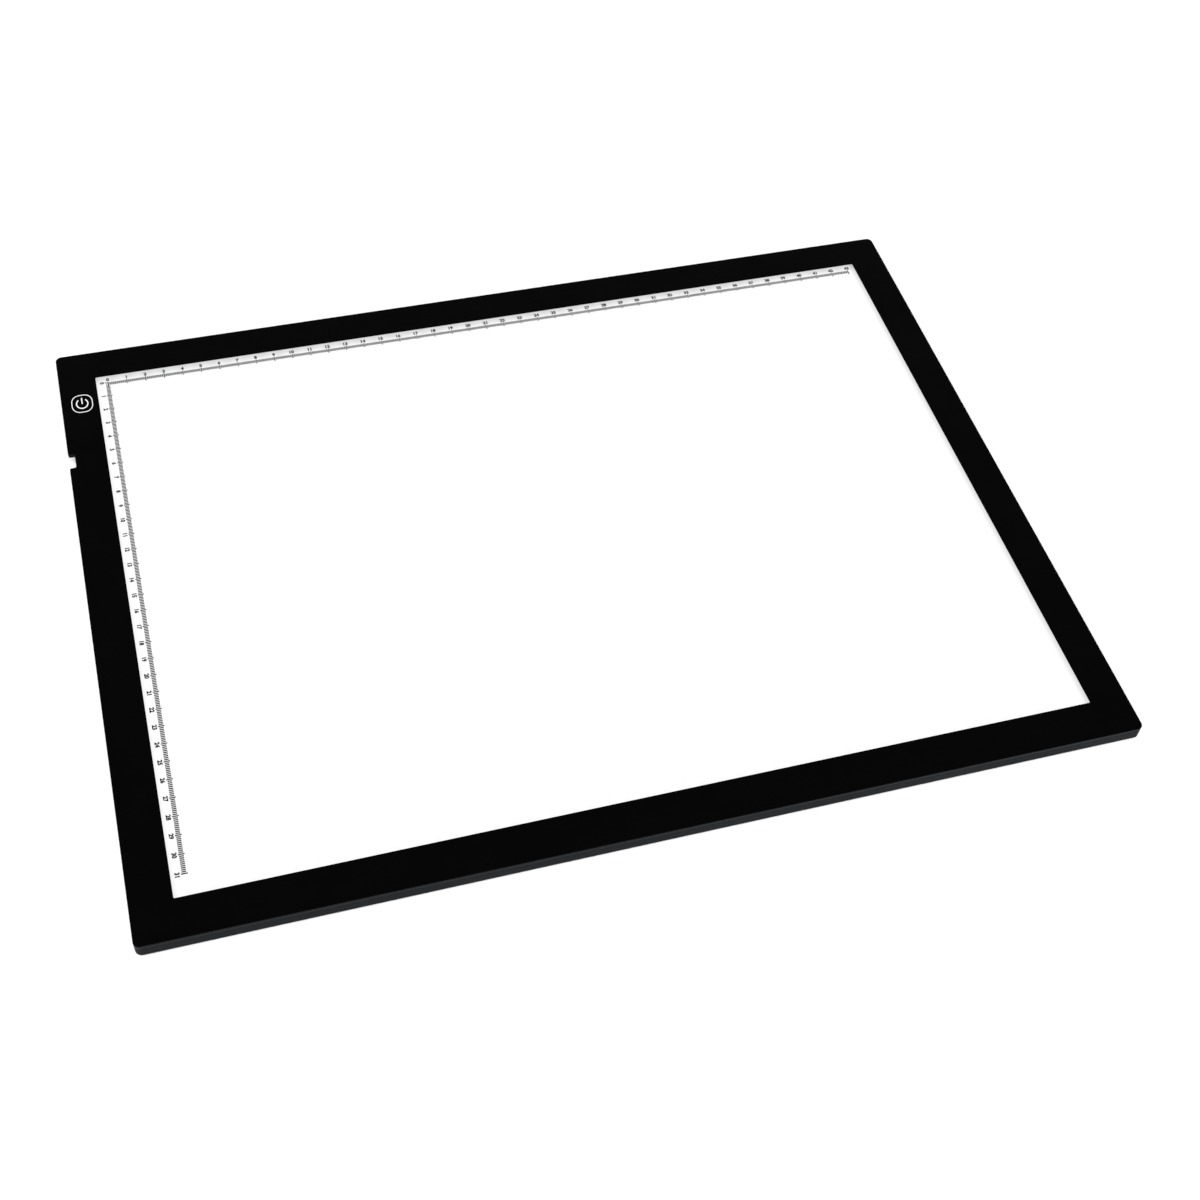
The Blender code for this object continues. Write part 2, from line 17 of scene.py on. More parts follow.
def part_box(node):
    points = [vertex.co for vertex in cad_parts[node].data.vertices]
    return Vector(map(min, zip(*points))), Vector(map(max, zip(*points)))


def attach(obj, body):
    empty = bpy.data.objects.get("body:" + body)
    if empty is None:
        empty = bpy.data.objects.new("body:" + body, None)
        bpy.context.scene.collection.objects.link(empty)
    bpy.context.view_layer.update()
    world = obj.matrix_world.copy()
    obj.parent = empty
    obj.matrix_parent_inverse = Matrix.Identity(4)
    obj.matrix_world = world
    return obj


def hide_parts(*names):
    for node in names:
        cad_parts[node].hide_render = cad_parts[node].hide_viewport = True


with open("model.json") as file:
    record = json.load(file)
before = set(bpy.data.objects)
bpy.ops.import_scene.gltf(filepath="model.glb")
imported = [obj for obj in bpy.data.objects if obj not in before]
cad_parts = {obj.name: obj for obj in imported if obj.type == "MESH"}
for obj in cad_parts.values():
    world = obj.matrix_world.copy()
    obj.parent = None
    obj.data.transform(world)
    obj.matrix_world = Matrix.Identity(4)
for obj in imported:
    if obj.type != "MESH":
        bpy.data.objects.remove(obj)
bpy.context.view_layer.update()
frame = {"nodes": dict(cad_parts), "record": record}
nodes = frame["nodes"]
print("CAD nodes:", len(nodes))

# %% [markdown]
# Every place on the pad is worked out from the CAD solids, so nothing is typed in twice. The light
# guide is 3 mm larger than the lit window on each side, which gives the window. The socket sits in
# the middle of the notch. Lengths are in metres, so a small constant makes millimetres readable.

# %% Measure the pad
MM = 0.001
SEAM = 0.05 * MM
TINY = SEAM / 10
INK = 0.02 * MM
GUIDE_OVERLAP = 3 * MM

panel_low, panel_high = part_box("top_panel")
cover_low, cover_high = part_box("rear_cover")
guide_low, guide_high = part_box("light_guide_plate")
socket_low, socket_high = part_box("socket_shell")
spring_low, spring_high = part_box("touch_spring")

window_left = guide_low.x + GUIDE_OVERLAP
window_right = guide_high.x - GUIDE_OVERLAP
window_front = guide_low.y + GUIDE_OVERLAP
window_back = guide_high.y - GUIDE_OVERLAP
face_z = panel_high.z - INK
notch_y = (socket_low.y + socket_high.y) / 2
window_size = (window_right - window_left, window_back - window_front)
print("window in mm:", [round(side / MM) for side in window_size])

# %% [markdown]
# A few helpers keep the modelling cells short. A finished bmesh becomes a named object that rides
# on the pad's only body. Round edges are shaded smooth. Faces that lie square to an axis are shaded
# flat, or the big flat faces would pick up the tilt of the narrow round edges beside them.

# %% Helper that finishes a piece
SHARP_ANGLE = math.radians(35)
SQUARE_ON = 0.9999


def finish(name, bm, materials, replaced=()):
    """Turn a bmesh into a named piece that rides on the pad and stands for some CAD nodes."""
    bmesh.ops.recalc_face_normals(bm, faces=bm.faces)
    mesh = bpy.data.meshes.new(name)
    bm.to_mesh(mesh)
    bm.free()
    for material in materials:
        mesh.materials.append(material)
    mesh.shade_smooth()
    mesh.set_sharp_from_angle(angle=SHARP_ANGLE)
    for face in mesh.polygons:
        if max(abs(part) for part in face.normal) > SQUARE_ON:
            face.use_smooth = False
    piece = bpy.data.objects.new(name, mesh)
    bpy.context.scene.collection.objects.link(piece)
    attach(piece, "root")
    if replaced:
        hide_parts(*replaced)
    print(name, "has", len(mesh.polygons), "faces")


# %% Helpers for shapes
CORNER_SEGMENTS = 10


def round_corners(bm, corners, radius, segments):
    """Round a flat face's corner points."""
    bmesh.ops.bevel(
        bm, geom=corners, offset=radius, offset_type="OFFSET", affect="VERTICES",
        segments=segments, profile=0.5, material=-1,
    )


def rounded_face(bm, points, radii, height):
    """Make a flat face through a few points, with each corner rounded by its own radius."""
    verts = [bm.verts.new((x, y, height)) for x, y in points]
    bm.faces.new(verts)
    for radius in sorted(set(radii)):
        corners = [vert for vert, own in zip(verts, radii) if own == radius]
        round_corners(bm, corners, radius, CORNER_SEGMENTS)


def box_corners(left, right, front, back):
    """The four corners of a rectangle, anticlockwise."""
    return [(left, front), (right, front), (right, back), (left, back)]


def raise_faces(bm, faces, height):
    """Extrude flat faces upwards."""
    grown = bmesh.ops.extrude_face_region(bm, geom=faces)
    verts = [item for item in grown["geom"] if isinstance(item, bmesh.types.BMVert)]
    bmesh.ops.translate(bm, verts=verts, vec=(0, 0, height))


def soften(bm, edges, width, segments=2):
    """Round a few edges by a small width."""
    bmesh.ops.bevel(
        bm, geom=list(edges), offset=width, offset_type="OFFSET", affect="EDGES",
        segments=segments, profile=0.5, material=-1,
    )


# %% [markdown]
# Materials are small node trees. Object coordinates are metres on the piece, so a grain size can
# be given in millimetres. Each helper adds one node or two: noise, a colour ramp, a value range or
# a bump. A value that is the same all over the piece is set on the shader itself.

# %% Helpers for node trees
def grey(value):
    """A colour without any hue."""
    return (value, value, value)


def new_finish(name, colour, roughness, specular=0.5, metallic=0.0):
    """A Principled material with its plain values set on the shader."""
    material = bpy.data.materials.new(name)
    material.use_nodes = True
    shader = material.node_tree.nodes["Principled BSDF"]
    shader.inputs["Base Color"].default_value = (*colour, 1)
    shader.inputs["Roughness"].default_value = roughness
    shader.inputs["Specular IOR Level"].default_value = specular
    shader.inputs["Metallic"].default_value = metallic
    print("finish:", name)
    return material


def add(material, kind, **settings):
    """Add a node and set its options."""
    made = material.node_tree.nodes.new(kind)
    for option, value in settings.items():
        setattr(made, option, value)
    return made


def link(material, output, target):
    """Join an output to a socket, or to a named input of the shader."""
    if isinstance(target, str):
        target = material.node_tree.nodes["Principled BSDF"].inputs[target]
    material.node_tree.links.new(output, target)


# %% Helpers for patterns
def object_space(material, stretch=(1, 1, 1)):
    """Object coordinates, stretched where a pattern is longer one way."""
    place = add(material, "ShaderNodeTexCoord")
    mapping = add(material, "ShaderNodeMapping")
    mapping.inputs["Scale"].default_value = stretch
    link(material, place.outputs["Object"], mapping.inputs["Vector"])
    return mapping.outputs["Vector"]


def noise(material, vector, grain, detail=3.0):
    """Soft noise whose blobs are about one grain across."""
    texture = add(material, "ShaderNodeTexNoise")
    texture.inputs["Scale"].default_value = 1 / grain
    texture.inputs["Detail"].default_value = detail
    link(material, vector, texture.inputs["Vector"])
    return texture.outputs["Fac"]


def maths(material, operation, first, second=0.0):
    """One arithmetic step on a value, with another value or a number where it takes two."""
    step = add(material, "ShaderNodeMath", operation=operation)
    link(material, first, step.inputs[0])
    if isinstance(second, (int, float)):
        step.inputs[1].default_value = second
    else:
        link(material, second, step.inputs[1])
    return step.outputs["Value"]


def ranged(material, value, low, high, to_low, to_high, smooth=False):
    """Map a value from one range to another."""
    mapper = add(material, "ShaderNodeMapRange")
    if smooth:
        mapper.interpolation_type = "SMOOTHSTEP"
    limits = {"From Min": low, "From Max": high, "To Min": to_low, "To Max": to_high}
    for name, number in limits.items():
        mapper.inputs[name].default_value = number
    link(material, value, mapper.inputs["Value"])
    return mapper.outputs["Result"]


# %% Helpers for colour, gloss and relief
def tint(material, value, low, high, first, last, target="Base Color"):
    """Colour the surface by a value, from the first colour to the last."""
    colours = add(material, "ShaderNodeValToRGB")
    colours.color_ramp.elements[0].position = low
    colours.color_ramp.elements[1].position = high
    colours.color_ramp.elements[0].color = (*first, 1)
    colours.color_ramp.elements[1].color = (*last, 1)
    link(material, value, colours.inputs["Fac"])
    link(material, colours.outputs["Color"], target)


def gloss(material, value, low, high, at_low, at_high):
    """Change the roughness by a value."""
    link(material, ranged(material, value, low, high, at_low, at_high), "Roughness")


def bump(material, height, depth, strength=1.0):
    """Raise the surface by a height pattern."""
    relief = add(material, "ShaderNodeBump")
    relief.inputs["Distance"].default_value = depth
    relief.inputs["Strength"].default_value = strength
    link(material, height, relief.inputs["Height"])
    link(material, relief.outputs["Normal"], "Normal")


# %% [markdown]
# The border is black ink, screen printed on acrylic. It is nearly black and reflects very little,
# but no print is perfectly even: the ink has slow changes in depth, a fine orange peel and a few
# faint rubbing marks from sleeves and paper, which only change the gloss.

# %% Border ink
def border_ink():
    material = new_finish("border_ink", grey(0.0006), 0.25, specular=0.07)
    flat = object_space(material)
    tint(material, noise(material, flat, 35 * MM), 0.35, 0.7, grey(0.0005), grey(0.0008))
    rubbed = noise(material, object_space(material, (1, 2, 1)), 18 * MM, 6)
    gloss(material, rubbed, 0.4, 0.75, 0.2, 0.32)
    bump(material, noise(material, flat, 1.6 * MM), 0.004 * MM)
    return material


ink_black = border_ink()

# %% [markdown]
# The window is milky acrylic with light behind it. Edge-lit pads are a touch darker where the
# border shades the light guide, and a faint dip shows between the LEDs along the long edges. Both
# are painted in the emission colour, worked out from the distance to the window's edges.

# %% Light behind the window
LED_PITCH = 9 * MM
DIP_REACH = 20 * MM
DIP_DEPTH = 0.05


def shaded_edges(material, x, y):
    """Brightness that climbs from a darker value at each edge to full a few millimetres in."""
    light = ranged(material, y, window_back, window_back - 7 * MM, 0.62, 1.0, smooth=True)
    for coordinate, edge, inner, darkest in (
        (y, window_front, window_front + 2.5 * MM, 0.96),
        (x, window_right, window_right - 4 * MM, 0.68),
        (x, window_left, window_left + 2.5 * MM, 0.86),
    ):
        fade = ranged(material, coordinate, edge, inner, darkest, 1.0, smooth=True)
        light = maths(material, "MULTIPLY", light, fade)
    return light


def led_wave(material, x):
    """A wave along the long edges that peaks at each LED."""
    return maths(material, "COSINE", maths(material, "MULTIPLY", x, 2 * math.pi / LED_PITCH))


def led_dips(material, x, y):
    """The dips between the LEDs, deepest at the long edges and gone further in."""
    between = ranged(material, led_wave(material, x), -1, 1, DIP_DEPTH, 0.0)
    middle = (window_front + window_back) / 2
    reach = (window_back - window_front) / 2
    across = maths(material, "ABSOLUTE", maths(material, "SUBTRACT", y, middle))
    near = ranged(material, across, reach - DIP_REACH, reach, 0.0, 1.0, smooth=True)
    return maths(material, "MULTIPLY", between, near)


# %% Lit window
def lit_acrylic():
    material = new_finish("lit_acrylic", grey(0.15), 0.32, specular=0.15)
    flat = object_space(material)
    split = add(material, "ShaderNodeSeparateXYZ")
    link(material, flat, split.inputs["Vector"])
    x = split.outputs["X"]
    y = split.outputs["Y"]
    light = shaded_edges(material, x, y)
    light = maths(material, "SUBTRACT", light, led_dips(material, x, y))
    tint(material, light, 0.0, 1.0, grey(0), grey(0.83), "Emission Color")
    shader = material.node_tree.nodes["Principled BSDF"]
    shader.inputs["Emission Strength"].default_value = 1.0
    tint(material, noise(material, flat, 0.8 * MM), 0.3, 0.7, grey(0.14), grey(0.16))
    gloss(material, noise(material, flat, 20 * MM), 0.3, 0.7, 0.28, 0.36)
    return material


window_light = lit_acrylic()

# %% [markdown]
# The panel's cut edge is laser cut acrylic, back-painted dark grey, so it looks like the cover
# below. It has fine upright ripples that the cutter leaves.

# %% Panel edge
SIDE_COLOUR = (0.0045, 0.0053, 0.0068)
SIDE_DARK = (0.0036, 0.0043, 0.0056)
SIDE_LIGHT = (0.0054, 0.0063, 0.008)


def panel_edge():
    material = new_finish("panel_edge", SIDE_COLOUR, 0.4, specular=0.05)
    ripples = noise(material, object_space(material, (6, 6, 1)), 3 * MM)
    tint(material, ripples, 0.3, 0.7, SIDE_DARK, SIDE_LIGHT)
    gloss(material, ripples, 0.3, 0.7, 0.32, 0.42)
    bump(material, ripples, 0.01 * MM)
    return material


cut_edge = panel_edge()

# %% [markdown]
# The tray is injection moulded ABS with a spark-eroded grain: tiny even pits that scatter light.
# The grain is a bump of about a third of a millimetre across, and the roughness changes slowly
# where hands and tables have polished it.

# %% Cover plastic
def cover_plastic():
    material = new_finish("cover_plastic", SIDE_COLOUR, 0.5, specular=0.05)
    flat = object_space(material)
    grain = noise(material, flat, 0.35 * MM, 4)
    clouds = noise(material, flat, 28 * MM)
    tint(material, clouds, 0.3, 0.7, SIDE_DARK, SIDE_LIGHT)
    gloss(material, clouds, 0.3, 0.7, 0.46, 0.58)
    bump(material, grain, 0.03 * MM, 0.6)
    return material


black_abs = cover_plastic()

# %% [markdown]
# Now the panel itself. On the real pad it is one sheet, so it is one piece here with three
# finishes. The outline starts as eight points: four corners and four for the notch. Bevelling the
# points rounds them, extruding the face gives the sheet its thickness, and a narrow bevel breaks
# the sharp rim. The sheet reaches down almost to the cover, because the tape between them can't be
# seen from outside.

# %% Make the panel's sheet
PAD_RADIUS = 3.2 * MM
NOTCH_RADIUS = 1.0 * MM
NOTCH_LENGTH = 9.4 * MM
NOTCH_DEPTH = 3.4 * MM
RIM_BREAK = 0.25 * MM

notch_x = panel_low.x + NOTCH_DEPTH
notch_front = notch_y - NOTCH_LENGTH / 2
notch_back = notch_y + NOTCH_LENGTH / 2
pad_points = box_corners(panel_low.x, panel_high.x, panel_low.y, panel_high.y) + [
    (panel_low.x, notch_back),
    (notch_x, notch_back),
    (notch_x, notch_front),
    (panel_low.x, notch_front),
]
pad_radii = [PAD_RADIUS] * 4 + [NOTCH_RADIUS] * 4
sheet_bottom = cover_high.z + SEAM

sheet = bmesh.new()
rounded_face(sheet, pad_points, pad_radii, sheet_bottom)
raise_faces(sheet, list(sheet.faces), face_z - sheet_bottom)
bmesh.ops.recalc_face_normals(sheet, faces=sheet.faces)
level = [
    edge for edge in sheet.edges
    if abs(edge.verts[0].co.z - edge.verts[1].co.z) < TINY
]
soften(sheet, level, RIM_BREAK, 3)
print("sheet has", len(sheet.faces), "faces")

# %% [markdown]
# The border and the window are the same sheet with different finishes, so they have to be separate
# faces. The top face is taken out, and the gap is filled again round the window's outline.

# %% Open the window
WINDOW_RADIUS = 0.6 * MM


def open_window(bm):
    """Fill the top face again as a border and a window, and return the window's face."""
    top = [
        face for face in bm.faces
        if face.normal.z > 0.99 and face.calc_center_median().z > panel_low.z
    ]
    outer = [edge for face in top for edge in face.edges]
    bmesh.ops.delete(bm, geom=top, context="FACES_ONLY")
    window = box_corners(window_left, window_right, window_front, window_back)
    known = set(bm.faces)
    rounded_face(bm, window, [WINDOW_RADIUS] * 4, face_z)
    pane = next(face for face in bm.faces if face not in known)
    inner = list(pane.edges)
    bmesh.ops.triangle_fill(bm, edges=outer + inner, use_beauty=True, normal=(0, 0, 1))
    return pane


pane = open_window(sheet)
print("window has", len(pane.verts), "corner points")

# %% [markdown]
# The ink covers the top face and the soft rim. The short walls of the notch are given the same
# near-black ink finish, so they look as dark as the border. The other walls are the panel's cut
# edge.

# %% Finish the panel
INK_FINISH, LIGHT_FINISH, EDGE_FINISH = range(3)
RIM_SLOPE = 0.7


def in_notch(face):
    """True on the short walls of the notch, which are given the ink finish as well."""
    centre = face.calc_center_median()
    near_x = centre.x < notch_x + PAD_RADIUS and centre.x > panel_low.x + RIM_BREAK
    near_y = abs(centre.y - notch_y) < NOTCH_LENGTH / 2 + INK
    return near_x and near_y


for face in sheet.faces:
    takes_ink_finish = face.normal.z > RIM_SLOPE or in_notch(face)
    face.material_index = INK_FINISH if takes_ink_finish else EDGE_FINISH
pane.material_index = LIGHT_FINISH
panel_finishes = [ink_black, window_light, cut_edge]
finish("printed_panel", sheet, panel_finishes, ["top_panel"])

# %% [markdown]
# The rulers are printed in black along the back and left edges of the window. Each mark is a layer
# of ink a few hundredths of a millimetre thick. A millimetre mark is short, and a centimetre mark
# is longer and reaches further both ways. One loop makes each ruler from the zero mark outwards.
# A mark's near and far ends are measured from the window's edge.

# %% Ruler ink
def ruler_ink():
    material = new_finish("ruler_ink", grey(0.005), 0.6, specular=0.06)
    density = noise(material, object_space(material), 0.25 * MM)
    tint(material, density, 0.35, 0.75, grey(0.002), grey(0.008))
    gloss(material, density, 0.3, 0.7, 0.5, 0.7)
    return material


rule_black = ruler_ink()

# %% Helpers for ruler marks
CM = 10 * MM
MARKS_IN_CM = 10


def ink_bar(bm, left, right, front, back):
    """A thin bar of ink on the panel's face."""
    size = Vector((right - left, back - front, INK))
    centre = Vector(((left + right) / 2, (front + back) / 2, face_z + INK / 2))
    place = Matrix.Translation(centre) @ Matrix.Diagonal((*size, 1))
    bmesh.ops.create_cube(bm, size=1, matrix=place)


def mark_ends(index, millimetre, centimetre):
    """The near and far ends of a mark: every tenth is a centimetre mark."""
    return centimetre if index % MARKS_IN_CM == 0 else millimetre


# %% Mark the long ruler
LONG_RULER_CM = 43
LONG_LINE = 0.69 * MM
LONG_MILLIMETRE = (4.9 * MM, 6.9 * MM)
LONG_CENTIMETRE = (4.6 * MM, 7.7 * MM)
long_zero = window_left + 6.2 * MM

marks = bmesh.new()
for index in range(LONG_RULER_CM * MARKS_IN_CM + 1):
    near, far = mark_ends(index, LONG_MILLIMETRE, LONG_CENTIMETRE)
    x = long_zero + index * MM
    ink_bar(marks, x - LONG_LINE / 2, x + LONG_LINE / 2, window_back - far, window_back - near)
finish("long_ruler_marks", marks, [rule_black])

# %% [markdown]
# Both zero marks meet in the window's corner. The short ruler's first marks stop before the long
# ruler's zero mark, so the ink never overlaps.

# %% Mark the short ruler
SHORT_RULER_CM = 31
SHORT_LINE = 0.64 * MM
SHORT_MILLIMETRE = (5.0 * MM, 7.1 * MM)
SHORT_CENTIMETRE = (4.6 * MM, 7.6 * MM)
short_zero = window_back - 5 * MM
corner_limit = long_zero - LONG_LINE - window_left
corner_end = window_back - 8 * MM

marks = bmesh.new()
for index in range(SHORT_RULER_CM * MARKS_IN_CM + 1):
    near, far = mark_ends(index, SHORT_MILLIMETRE, SHORT_CENTIMETRE)
    y = short_zero - index * MM
    if y > corner_end:
        far = min(far, corner_limit)
    ink_bar(marks, window_left + near, window_left + far, y - SHORT_LINE / 2, y + SHORT_LINE / 2)
finish("short_ruler_marks", marks, [rule_black])

# %% [markdown]
# The numbers are text. A text object becomes a mesh first, is measured, and is then scaled so that
# its digits are just over 2 mm tall. The short ruler's numbers are turned a quarter turn, so they
# read downwards. Bold digits come from a small offset of the letter outlines. A larger offset
# would make the curves of some digits cross, and their walls would no longer close.

# %% Helpers for ruler numbers
DIGIT_HEIGHT = 2.35 * MM
DIGIT_WEIGHT = 0.055
MERGE_DISTANCE = 0.0001


def text_mesh(words):
    """The words as a flat solid of ink, centred, one unit tall."""
    curve = bpy.data.curves.new("words", "FONT")
    curve.body = words
    curve.offset = DIGIT_WEIGHT
    curve.extrude = 0.5
    curve.resolution_u = 3
    writer = bpy.data.objects.new("words", curve)
    bpy.context.scene.collection.objects.link(writer)
    bpy.context.view_layer.update()
    mesh = bpy.data.meshes.new_from_object(writer)
    bpy.data.objects.remove(writer)
    bm = bmesh.new()
    bm.from_mesh(mesh)
    bpy.data.meshes.remove(mesh)
    bmesh.ops.remove_doubles(bm, verts=bm.verts, dist=MERGE_DISTANCE)
    low = Vector([min(vert.co[axis] for vert in bm.verts) for axis in range(3)])
    high = Vector([max(vert.co[axis] for vert in bm.verts) for axis in range(3)])
    height = high.y - low.y
    bmesh.ops.translate(bm, verts=bm.verts, vec=-(low + high) / 2)
    bmesh.ops.scale(bm, verts=bm.verts, vec=(1 / height, 1 / height, 1))
    return bm


def print_number(target, number, x, y, turn):
    """Print a number on the panel about a point, turned about the upright axis."""
    bm = text_mesh(str(number))
    size = Matrix.Diagonal((DIGIT_HEIGHT, DIGIT_HEIGHT, INK, 1))
    centre = Matrix.Translation((x, y, face_z + INK / 2))
    place = centre @ Matrix.Rotation(turn, 4, "Z") @ size
    bmesh.ops.transform(bm, matrix=place, verts=bm.verts)
    mesh = bpy.data.meshes.new("number")
    bm.to_mesh(mesh)
    bm.free()
    target.from_mesh(mesh)
    bpy.data.meshes.remove(mesh)


# %% Print the ruler numbers
QUARTER_TURN = math.pi / 2
long_number_y = window_back - 2.8 * MM
short_number_x = window_left + 3.0 * MM

numbers = bmesh.new()
for index in range(LONG_RULER_CM + 1):
    print_number(numbers, index, long_zero + index * CM, long_number_y, 0)
finish("long_ruler_numbers", numbers, [rule_black])

numbers = bmesh.new()
for index in range(SHORT_RULER_CM + 1):
    print_number(numbers, index, short_number_x, short_zero - index * CM, -QUARTER_TURN)
finish("short_ruler_numbers", numbers, [rule_black])

# %% [markdown]
# The touch key is only a mark: a thin white ring, taller than wide, round the usual power symbol.
# The finger is sensed through the panel by the spring below it, so the mark is centred over the
# spring. Ring and symbol are drawn about the origin first, as wide as they are tall, and are then
# stretched together and moved into place. The ring is the inset of a rounded square. The symbol's
# arc is a short line spun about the centre, and its bar is a thin block.

# %% Key ink
def key_ink():
    material = new_finish("key_ink", grey(0.82), 0.5, specular=0.3)
    density = noise(material, object_space(material), 0.3 * MM)
    tint(material, density, 0.3, 0.6, (0.74, 0.74, 0.75), grey(0.86))
    gloss(material, density, 0.3, 0.7, 0.45, 0.6)
    return material


key_white = key_ink()

# %% Helper that prints a mark over the touch spring
MARK_STRETCH = 1.19
key_x = (spring_low.x + spring_high.x) / 2
key_y = (spring_low.y + spring_high.y) / 2


def print_mark(name, bm):
    """Stretch a flat mark, put it over the touch spring and give it the thickness of ink."""
    bmesh.ops.scale(bm, verts=bm.verts, vec=(1, MARK_STRETCH, 1))
    bmesh.ops.translate(bm, verts=bm.verts, vec=(key_x, key_y, face_z))
    raise_faces(bm, list(bm.faces), INK)
    finish(name, bm, [key_white])


# %% Print the key's ring
RING_SIZE = 11.1 * MM
RING_RADIUS = 4.4 * MM
RING_LINE = 0.42 * MM

ring = bmesh.new()
half = RING_SIZE / 2
rounded_face(ring, box_corners(-half, half, -half, half), [RING_RADIUS] * 4, 0)
middle = list(ring.faces)
bmesh.ops.inset_region(
    ring, faces=middle, thickness=RING_LINE, use_even_offset=True, use_boundary=True,
)
bmesh.ops.delete(ring, geom=middle, context="FACES_ONLY")
print_mark("key_ring", ring)

# %% Print the power symbol
ARC_RADIUS = 3.25 * MM
ARC_LINE = 0.6 * MM
ARC_GAP = math.radians(75)
ARC_STEPS = 48
BAR_TOP = 3.65 * MM
BAR_BOTTOM = -0.2 * MM
BAR_RADIUS = 0.15 * MM

arc = bmesh.new()
ends = [arc.verts.new((0, radius, 0)) for radius in (ARC_RADIUS, ARC_RADIUS - ARC_LINE)]
line = arc.edges.new(ends)
start = Matrix.Rotation(ARC_GAP / 2, 3, "Z")
bmesh.ops.rotate(arc, verts=arc.verts, cent=(0, 0, 0), matrix=start)
bmesh.ops.spin(
    arc, geom=[*ends, line], cent=(0, 0, 0), axis=(0, 0, 1), angle=2 * math.pi - ARC_GAP,
    steps=ARC_STEPS,
)
print_mark("key_arc", arc)

bar = bmesh.new()
bar_points = box_corners(-ARC_LINE / 2, ARC_LINE / 2, BAR_BOTTOM, BAR_TOP)
rounded_face(bar, bar_points, [BAR_RADIUS] * 4, 0)
print_mark("key_bar", bar)

# %% [markdown]
# The rear cover keeps its CAD shape, but a CAD node is loose triangles with hard shading. A copy
# has its doubles merged and its flat faces joined, so that its corners shade smoothly, and then
# the sharp lower edge is broken a little, as a moulded edge is.

# %% Make the rear cover
LOWER_EDGE = 0.25 * MM
FLAT_ANGLE = math.radians(0.5)
BENT_ANGLE = math.radians(20)

cover = bmesh.new()
cover.from_mesh(nodes["rear_cover"].data)
bmesh.ops.remove_doubles(cover, verts=cover.verts, dist=0.001 * MM)
bmesh.ops.dissolve_limit(cover, angle_limit=FLAT_ANGLE, verts=cover.verts, edges=cover.edges)
base_edges = [
    edge for edge in cover.edges
    if all(abs(vert.co.z - cover_low.z) < TINY for vert in edge.verts)
]
lower_rim = [edge for edge in base_edges if edge.calc_face_angle(0) > BENT_ANGLE]
soften(cover, lower_rim, LOWER_EDGE)
finish("cover_tray", cover, [black_abs], ["rear_cover"])

# %% [markdown]
# The feet are self-adhesive rubber dots with a rounded lower edge. A filled circle is raised to
# the foot's height, which closes it at both ends, and a bevel rounds the rim that stands on the
# table. Every foot is made where its CAD node stands.

# %% Foot rubber
def foot_rubber():
    material = new_finish("foot_rubber", grey(0.016), 0.85, specular=0.3)
    flat = object_space(material)
    dust = noise(material, flat, 2.5 * MM, 6)
    tint(material, dust, 0.4, 0.8, grey(0.012), (0.03, 0.029, 0.028))
    gloss(material, dust, 0.3, 0.7, 0.75, 0.95)
    bump(material, noise(material, flat, 0.2 * MM), 0.02 * MM, 0.5)
    return material


rubber = foot_rubber()

# %% Make the feet
FOOT_SEGMENTS = 48
FOOT_EDGE = 0.3 * MM


def make_foot(node):
    """A round foot with a soft lower edge, standing where its CAD node stands."""
    low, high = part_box(node)
    radius = (high.x - low.x) / 2
    centre = ((low.x + high.x) / 2, (low.y + high.y) / 2, low.z)
    bm = bmesh.new()
    bmesh.ops.create_circle(bm, cap_ends=True, segments=FOOT_SEGMENTS, radius=radius)
    bmesh.ops.translate(bm, verts=bm.verts, vec=centre)
    raise_faces(bm, list(bm.faces), cover_low.z - low.z - INK)
    lower = [edge for edge in bm.edges if all(vert.co.z < low.z + INK for vert in edge.verts)]
    soften(bm, lower, FOOT_EDGE, 4)
    finish("rubber_" + node, bm, [rubber], [node])


for node in ("foot_front_left", "foot_front_right", "foot_back_left", "foot_back_right"):
    make_foot(node)

# %% [markdown]
# The power socket is folded from thin plated steel. Its mouth is wider at the top than at the
# bottom, so the plug only goes in one way. The outline is six points, extruded into the board's
# cut-out. The front face is inset by the wall's thickness and pushed in, which leaves the hollow.

# %% Plated steel
def plated_steel():
    material = new_finish("plated_steel", (0.62, 0.62, 0.63), 0.28, metallic=1.0)
    streaks = noise(material, object_space(material, (1, 8, 8)), 2 * MM)
    tint(material, streaks, 0.3, 0.7, (0.52, 0.52, 0.53), (0.7, 0.7, 0.71))
    gloss(material, streaks, 0.3, 0.7, 0.2, 0.38)
    return material


steel = plated_steel()

# %% Make the socket's solid
SOCKET_SLOPE = 1.1 * MM
SOCKET_BEND = 0.35 * MM

socket = bmesh.new()
mouth_points = [
    (socket_low.y + SOCKET_SLOPE, socket_low.z),
    (socket_high.y - SOCKET_SLOPE, socket_low.z),
    (socket_high.y, socket_low.z + SOCKET_SLOPE),
    (socket_high.y, socket_high.z),
    (socket_low.y, socket_high.z),
    (socket_low.y, socket_low.z + SOCKET_SLOPE),
]
corners = [socket.verts.new((socket_high.x, y, z)) for y, z in mouth_points]
socket.faces.new(corners)
round_corners(socket, corners, SOCKET_BEND, 5)
bmesh.ops.recalc_face_normals(socket, faces=socket.faces)
grown = bmesh.ops.extrude_face_region(socket, geom=list(socket.faces), use_keep_orig=True)
front_verts = [item for item in grown["geom"] if isinstance(item, bmesh.types.BMVert)]
bmesh.ops.translate(socket, verts=front_verts, vec=(socket_low.x - socket_high.x, 0, 0))
bmesh.ops.recalc_face_normals(socket, faces=socket.faces)
print("socket solid has", len(socket.faces), "faces")

# %% Hollow the socket
SOCKET_WALL = 0.3 * MM

